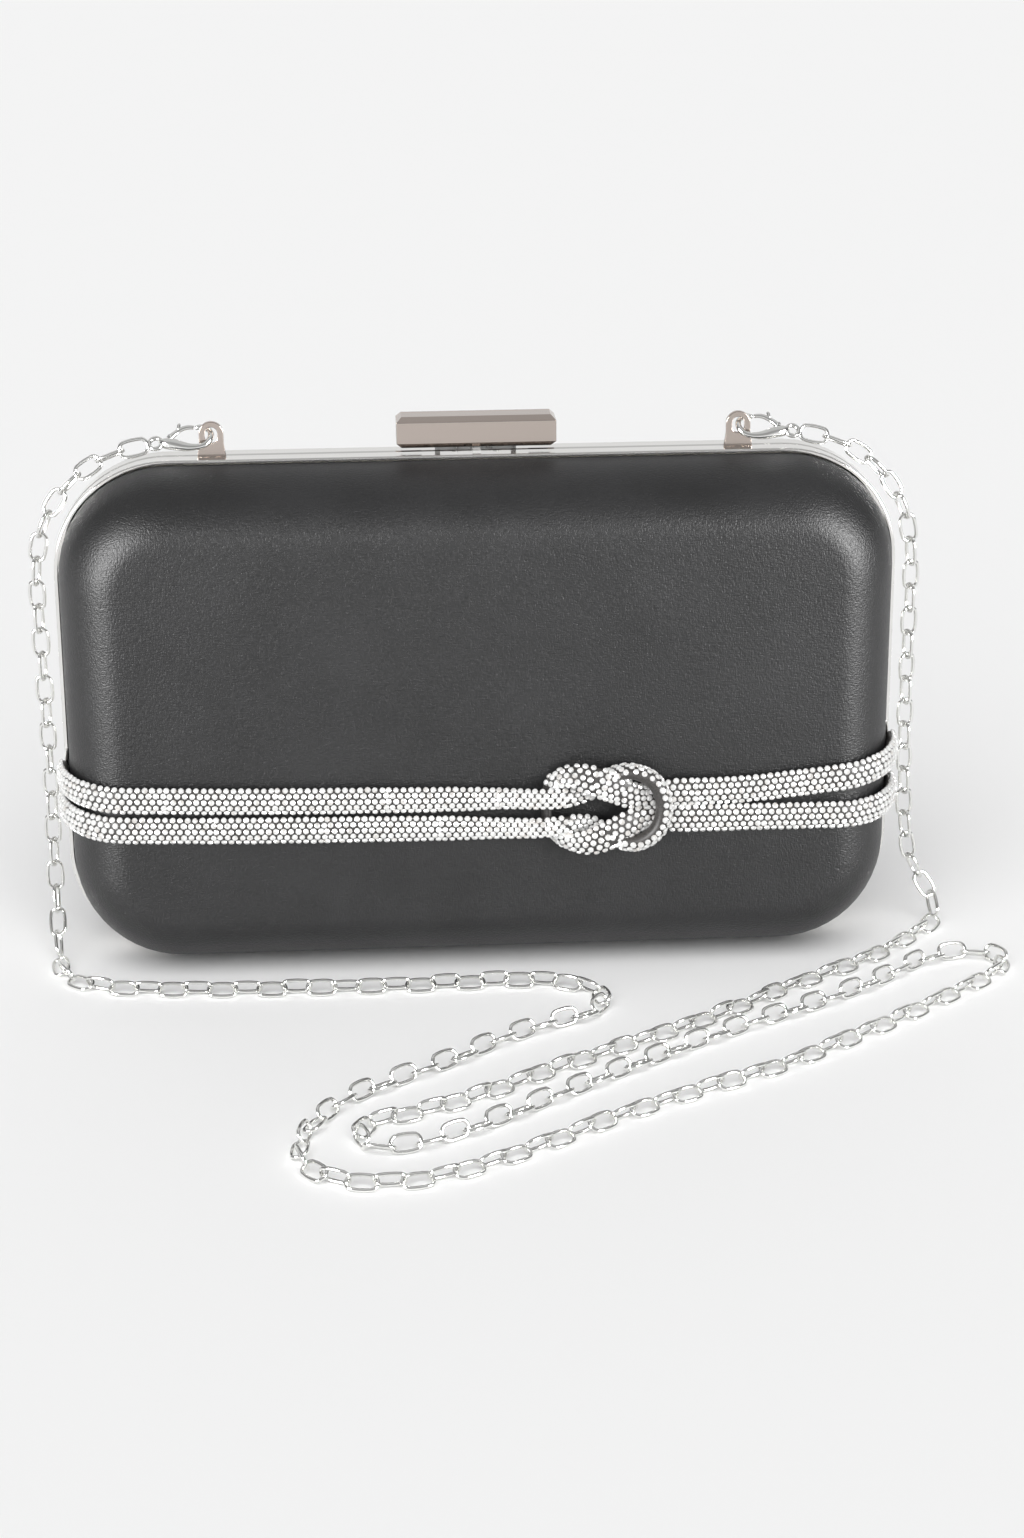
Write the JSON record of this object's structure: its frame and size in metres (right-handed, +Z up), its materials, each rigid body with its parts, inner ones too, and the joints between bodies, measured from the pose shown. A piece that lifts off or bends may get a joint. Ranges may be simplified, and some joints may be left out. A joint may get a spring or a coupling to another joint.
{
  "type": "evening bag",
  "caption": "Hard box evening bag with two domed halves, a rim clasp, stone-covered straps tied in a flat knot and a link chain.",
  "frame": {"origin": "middle of the bag's width and depth, on the surface it stands on", "axes": "+X to the bag's right as seen from the front, -Y out of the knotted front, +Z up"},
  "size_m": [0.2409, 0.1642, 0.1361],
  "materials": {
    "satin": "satin",
    "rim_metal": "polished",
    "clasp_metal": "polished",
    "chain_metal": "polished",
    "pin_steel": "satin",
    "stones": "gloss",
    "shell_board": "matte",
    "foam": "matte",
    "lining": "satin"
  },
  "bodies": {
    "front_half": {"front_frame": "rim_metal", "front_cover": "satin", "front_padding": "foam", "front_shell": "shell_board", "front_lining": "lining", "left_strap": "stones", "right_strap": "stones", "catch_tongue": "rim_metal", "left_chain_lug": "clasp_metal", "right_chain_lug": "clasp_metal", "front_hinge_leaves": "pin_steel", "hinge_pins": "pin_steel", "chain": "chain_metal"},
    "back_half": {"back_frame": "rim_metal", "back_cover": "satin", "back_padding": "foam", "back_shell": "shell_board", "back_lining": "lining", "back_hinge_leaves": "pin_steel", "clasp_bracket": "pin_steel", "clasp_bracket_rivets": "pin_steel", "clasp_pin": "pin_steel", "clasp_spring": "pin_steel"},
    "clasp": {"clasp_bar": "clasp_metal", "clasp_hook": "pin_steel"},
    "left_claw_body": {"left_claw": "chain_metal", "left_trigger_pin": "pin_steel"},
    "left_trigger_lever": {"left_trigger": "chain_metal"},
    "right_claw_body": {"right_claw": "chain_metal", "right_trigger_pin": "pin_steel"},
    "right_trigger_lever": {"right_trigger": "chain_metal"}
  },
  "joints": [
    {"name": "back_half_hinge", "type": "hinge", "parent": "front_half", "child": "back_half", "pos_m": [0, 0.0035, 0.0015], "axis": [-1, 0, 0], "range_deg": [0, 70]},
    {"name": "clasp_tip", "type": "hinge", "parent": "back_half", "child": "clasp", "pos_m": [0, 0.0054, 0.1312], "axis": [-1, 0, 0], "range_deg": [0, 12], "stiffness_Nm_per_rad": 0.02},
    {"name": "left_claw_swing", "type": "hinge", "parent": "front_half", "child": "left_claw_body", "pos_m": [-0.0635, 0.0022, 0.1323], "axis": [0, 1, 0], "range_deg": [0, 15]},
    {"name": "left_trigger_press", "type": "hinge", "parent": "left_claw_body", "child": "left_trigger_lever", "pos_m": [-0.07339, 0.00284, 0.13155], "axis": [0.0989, 0.7036, -0.7036], "range_deg": [0, 20], "stiffness_Nm_per_rad": 0.002},
    {"name": "right_claw_swing", "type": "hinge", "parent": "front_half", "child": "right_claw_body", "pos_m": [0.0635, 0.0022, 0.1323], "axis": [0, -1, 0], "range_deg": [0, 15]},
    {"name": "right_trigger_press", "type": "hinge", "parent": "right_claw_body", "child": "right_trigger_lever", "pos_m": [0.07339, 0.00284, 0.13155], "axis": [0.0989, -0.7036, 0.7036], "range_deg": [0, 20], "stiffness_Nm_per_rad": 0.002}
  ]
}
